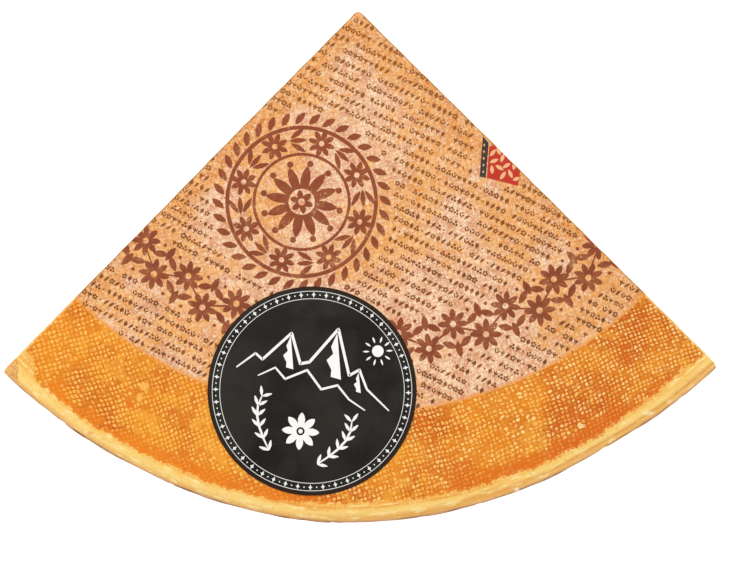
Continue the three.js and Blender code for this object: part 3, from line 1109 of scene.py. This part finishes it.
def small_marks():
    """Rows of small marks in groups, over all of the sheet that is bare."""
    chance = random.Random(5)
    kinds = [mark_lozenge, mark_leaf, mark_sprig, mark_blossom, mark_trefoil, mark_bud]
    bm = bmesh.new()
    turn = math.radians(ROW_TURN)
    reach = 290
    for row in range(-60, 61):
        along = -reach + chance.uniform(0, 20)
        left_in_group = chance.randint(4, 9)
        while along < reach:
            bend = 0.9 * math.sin(along * 0.021 + row * 0.13)
            across = row * ROW_PITCH + bend
            x = along * math.cos(turn) - across * math.sin(turn)
            y = along * math.sin(turn) + across * math.cos(turn)
            kind = chance.choice(kinds)
            size = MARK_HEIGHT * chance.uniform(0.88, 1.06)
            tilt = ROW_TURN + chance.uniform(-7, 7)
            angle = math.degrees(math.atan2(x, -y))
            marked = y < -5 and LEFT_CUT < angle < RIGHT_CUT and not bare_of_marks(x, y)
            if marked:
                kind(bm, spot(x, y, tilt, size))
            left_in_group -= 1
            along += MARK_PITCH
            if left_in_group == 0:
                left_in_group = chance.randint(3, 9)
                if chance.random() < 0.6 and marked:
                    next_x, next_y = x + MARK_PITCH * math.cos(turn), y + MARK_PITCH * math.sin(turn)
                    dot(bm, spot(next_x, next_y, 0, 0.9), 6)
                along += MARK_PITCH * chance.uniform(0.8, 1.5)
    return bm


def garland():
    """A winding stem with flowers on both sides of it, and leaves and berries across from each flower."""
    chance = random.Random(23)
    bm = bmesh.new()
    middle = GARLAND["radius"]

    def along(radius, angle, turn=0.0, width=1.0, height=None):
        """A spot on the garland, turned from the way that it runs."""
        x, y = plan_point(radius, angle)
        return spot(GARLAND["x"] + x, y, angle + turn, width, height)

    def stem(at):
        angle = GARLAND_FROM + (GARLAND_TO - GARLAND_FROM) * at
        wave = 2.4 * math.cos(math.pi * (angle - GARLAND_FROM) / GARLAND_STEP)
        x, y = plan_point(middle + wave, angle)
        return GARLAND["x"] + x, y

    ribbon(bm, stem, 1.0, 300)
    for number in range(round((GARLAND_TO - GARLAND_FROM) / GARLAND_STEP)):
        angle = GARLAND_FROM + GARLAND_STEP * number
        side = -1 if number % 2 else 1
        flower(bm, along(middle + side * 4.6, angle, chance.uniform(0, 45), chance.uniform(14.4, 16)))
        for lean, reach, length in ((-58, 4.6, 7.6), (0, 5.4, 8.0), (58, 4.6, 7.6)):
            turn = math.radians(lean)
            shift = math.degrees(reach * math.sin(turn) / middle)
            out = middle - side * (2.4 + reach * math.cos(turn))
            leaf(bm, along(out, angle + shift, -side * (90 - lean), length, 3.3))
        for shift in (-0.36, 0.36):
            dot(bm, along(middle - side * 9.4, angle + shift * GARLAND_STEP, 0, 1.7), 10)
    return bm


def rosette():
    """A round rosette: a ring of leaves, a wreath of flowers, and one large flower in its middle."""
    bm = bmesh.new()
    middle = spot(ROSETTE["x"], ROSETTE["y"], ROSETTE["turn"] + 180)
    ring(bm, middle @ spot(0, 0, 0, 73), 0.95, 144)
    ring(bm, middle @ spot(0, 0, 0, 47), 0.94, 144)
    for number in range(36):
        turn = 10 * number
        x, y = plan_point(40, turn)
        leaf(bm, middle @ spot(x, y, turn + 50, 7.4, 3.3), 10)
    for number in range(8):
        turn = 45 * number
        x, y = plan_point(29.4, turn)
        flower(bm, middle @ spot(x, y, turn, 13.2))
        for lean in (-34, 0, 34):
            x, y = plan_point(29.4 + lean * 0.1, turn + 22.5)
            leaf(bm, middle @ spot(x, y, turn + 22.5 + lean, 8.6, 2.5), 10)
    flower(bm, middle @ spot(0, 0, 9, 35), petals=12, heart=0.36)
    flower(bm, middle @ spot(0, 0, 0, 11.5), petals=6, heart=0.3)
    for number in range(12):
        x, y = plan_point(18.6, 30 * number + 6)
        dot(bm, middle @ spot(x, y, 0, 3.0), 12)
    return bm


def patch():
    """A scrap of red and black print at the right cut, as its fields and the pale sprigs on them."""
    fields = {"red": bmesh.new(), "black": bmesh.new(), "pale": bmesh.new()}
    middle = spot(PATCH["x"], PATCH["y"])
    polygon(fields["red"], middle, ((-4.6, 7.6), (0.8, 8.5), (10.5, -1.0), (9.0, -11.3), (-5.9, -7.6)))
    polygon(fields["black"], middle, ((-7.8, 12.4), (-9.3, -6.9), (-6.4, -7.5), (-5.0, 9.2)))
    for x, y, turn, length in PATCH_LEAVES:
        leaf(fields["pale"], middle @ spot(x, y, turn, length, 1.9), 10)
    for step in range(5):
        dot(fields["pale"], middle @ spot(-7.6 + 0.12 * step, -4.6 + 3.2 * step, 0, 0.9, 1.5), 4)
    return fields


# The sticker


def make_sticker(black):
    place = (STICKER["x"], STICKER["y"], WHEEL_HEIGHT + STICKER["lift"])
    bm, raised = raised_disc(place, STICKER["radius"], STICKER["thickness"], segments=192)
    rim = [edge for face in parts_of(raised, bmesh.types.BMFace) for edge in face.edges]
    bmesh.ops.bevel(bm, geom=rim, offset=0.08, segments=2, profile=0.5, affect="EDGES", material=-1)
    sticker = made_object("black_sticker", bm, black)
    finish_piece(sticker)
    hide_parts("round_sticker")


STICKER_TURN = -16
STARS = 48
STAR_RADIUS = 46.1
STAR_RINGS = ((95.8, 0.9945), (88.6, 0.994))


def star_ring():
    """Two thin circles with small four-pointed stars and dots between them."""
    bm = bmesh.new()
    middle = spot(STICKER["x"], STICKER["y"], STICKER_TURN)
    for width, hole in STAR_RINGS:
        ring(bm, middle @ spot(0, 0, 0, width), hole, 144)
    for number in range(STARS):
        turn = 360 * number / STARS
        x, y = plan_point(STAR_RADIUS, turn)
        for lean, length in ((0, 2.0), (90, 2.8)):
            leaf(bm, middle @ spot(x, y, turn + lean, length, 0.85), 8)
        x, y = plan_point(STAR_RADIUS, 360 * (number + 0.5) / STARS)
        dot(bm, middle @ spot(x, y, 0, 0.7), 8)
    return bm


def sticker_sketch():
    """A hand-drawn range of peaks over a flower between two sprigs, in white line."""
    bm = bmesh.new()
    middle = spot(STICKER["x"], STICKER["y"], STICKER_TURN)

    def line(points, width):
        """A smooth line through points of the sketch."""
        count = len(points) - 1

        def path(at):
            place = at * count
            first = min(int(place), count - 1)
            share = place - first
            share = share * share * (3 - 2 * share)
            x = points[first][0] * (1 - share) + points[first + 1][0] * share
            y = points[first][1] * (1 - share) + points[first + 1][1] * share
            out = middle @ Vector((x, y, 0))
            return out.x, out.y

        ribbon(bm, path, width, 12 * count)

    line([(-38, 1), (-31, 10), (-27, 8), (-17, 24), (-9, 11), (-5, 13), (4, 32), (15, 12), (19, 16), (25, 8),
          (38, 1)], 1.4)
    line([(-27, 0), (-20, 6), (-14, 2), (-5, 9), (4, 2), (11, 6), (18, 1), (27, -2)], 1.1)
    for x, y, width, height in ((-17, 22.5, 12, 15), (4, 30, 17, 21), (19, 14.5, 8, 9)):
        peak = middle @ spot(x, y - height, 0, width, height)
        shade = ((0, 1), (-0.06, 0.66), (0.05, 0.52), (-0.08, 0.34), (0.12, 0.16), (0.16, 0), (0.46, 0))
        polygon(bm, peak, shade)
    flower(bm, middle @ spot(0, -20, 11, 18), petals=8, heart=0.22)
    dot(bm, middle @ spot(0, -20, 0, 2.2), 12)
    for side in (-1, 1):
        sprig = [(side * (12 + 11 * math.sin(step * 0.38)), -33 + 4.8 * step) for step in range(6)]
        line(sprig, 1.1)
        for step, (x, y) in enumerate(sprig):
            for lean in (-40, 40):
                turn = 90 + lean - side * (45 - 13 * step)
                out = math.radians(turn)
                leaf(bm, middle @ spot(x + 2.6 * math.cos(out), y + 2.6 * math.sin(out), turn, 5.2, 1.6), 8)
    dot(bm, middle @ spot(25, 27, 0, 5.6), 20)
    for number in range(10):
        x, y = plan_point(5.6, 36 * number)
        leaf(bm, middle @ spot(25 + x, 27 + y, 36 * number + 90, 3.2, 1.0), 8)
    return bm


# The room: floor, lights and camera

CAMERA_ABOVE = 3000
FRAME_WIDTH = 359.8
FRAME_MIDDLE = (8.6, -131.3)
FLOOR_GLOW = 0.6
ROOM_GLOW = 0.62
LAMP_AIM = (0, 0, 0.08)


def make_floor():
    """A white floor that glows a little, as a light table does, so that it comes out white all round."""
    paint = Paint("pale_floor", roughness=0.9, specular=0.1)
    here = paint.place()[0]
    paint.colour(paint.mix(paint.noise(here, 0.01), srgb(250, 250, 250), srgb(253, 253, 253)))
    paint.shader.inputs["Emission Color"].default_value = (1, 1, 1, 1)
    paint.shader.inputs["Emission Strength"].default_value = FLOOR_GLOW
    bm = bmesh.new()
    bmesh.ops.create_grid(bm, x_segments=4, y_segments=4, size=2500)
    floor = made_object("floor", bm, paint.material)
    floor.data.transform(PLACE @ Matrix.Translation((0, 0, -0.3)))


def area_light(name, place, size, power):
    """A round lamp that points at the middle of the cheese."""
    lamp = bpy.data.lights.new(name, "AREA")
    lamp.shape = "DISK"
    lamp.size = size
    lamp.energy = power
    holder = bpy.data.objects.new(name, lamp)
    holder.location = place
    holder.rotation_euler = (Vector(LAMP_AIM) - Vector(place)).to_track_quat("-Z", "Y").to_euler()
    bpy.context.scene.collection.objects.link(holder)


def make_room():
    world = bpy.data.worlds.new("studio")
    bpy.context.scene.world = world
    world.use_nodes = True
    sockets = world.node_tree.nodes["Background"].inputs
    sockets["Color"].default_value = (1, 1, 1, 1)
    sockets["Strength"].default_value = ROOM_GLOW
    area_light("key", (-1.1, 1.2, 1.7), size=0.9, power=26)
    area_light("fill", (1.4, -0.9, 1.6), size=1.4, power=9)

    lens = bpy.data.cameras.new("camera")
    lens.sensor_width = 36
    lens.lens = lens.sensor_width * CAMERA_ABOVE / FRAME_WIDTH
    lens.clip_start = 0.1
    lens.clip_end = 20
    camera = bpy.data.objects.new("camera", lens)
    x = (AXIS_X + FRAME_MIDDLE[0]) * MM
    y = (AXIS_Y + FRAME_MIDDLE[1]) * MM
    camera.location = (x, y, (WHEEL_HEIGHT + CAMERA_ABOVE) * MM)
    bpy.context.scene.collection.objects.link(camera)
    bpy.context.scene.camera = camera
    bpy.context.scene.view_settings.view_transform = "Standard"


make_room()
make_floor()
make_cheese((rind_material(), paste_material(), broken_material()))
make_sheet(paper_material())

INK_LOW = WHEEL_HEIGHT - 0.05
INK_HIGH = WHEEL_HEIGHT + 0.05
row_ink = ink_material("row_ink", srgb(114, 60, 22), srgb(142, 80, 30), srgb(152, 88, 26))
motif_ink = ink_material("motif_ink", srgb(132, 62, 34), srgb(154, 82, 46), srgb(146, 70, 36))
make_print("print_rows", small_marks(), row_ink, INK_LOW, INK_HIGH)
make_print("print_garland", garland(), motif_ink, INK_LOW, INK_HIGH + 0.01)
make_print("print_rosette", rosette(), motif_ink, INK_LOW, INK_HIGH + 0.01)
patch_looks = {
    "red": (srgb(178, 34, 16), srgb(206, 58, 30), 0.02),
    "black": (srgb(52, 40, 36), srgb(70, 56, 48), 0.01),
    "pale": (srgb(234, 170, 116), srgb(244, 190, 138), 0.03),
}
for tint, field in patch().items():
    first, second, lift = patch_looks[tint]
    look = plain_ink_material(f"patch_{tint}", first, second, 0.2)
    make_print(f"patch_{tint}", field, look, INK_LOW, INK_HIGH + lift)

make_sticker(sticker_material())
white = plain_ink_material("white_ink", srgb(238, 236, 230), srgb(255, 254, 250), 0.1)
sticker_top = WHEEL_HEIGHT + STICKER["lift"] + STICKER["thickness"]
for name, shapes in (("sticker_ring", star_ring()), ("sticker_sketch", sticker_sketch())):
    make_print(name, shapes, white, sticker_top - 0.03, sticker_top + 0.03)
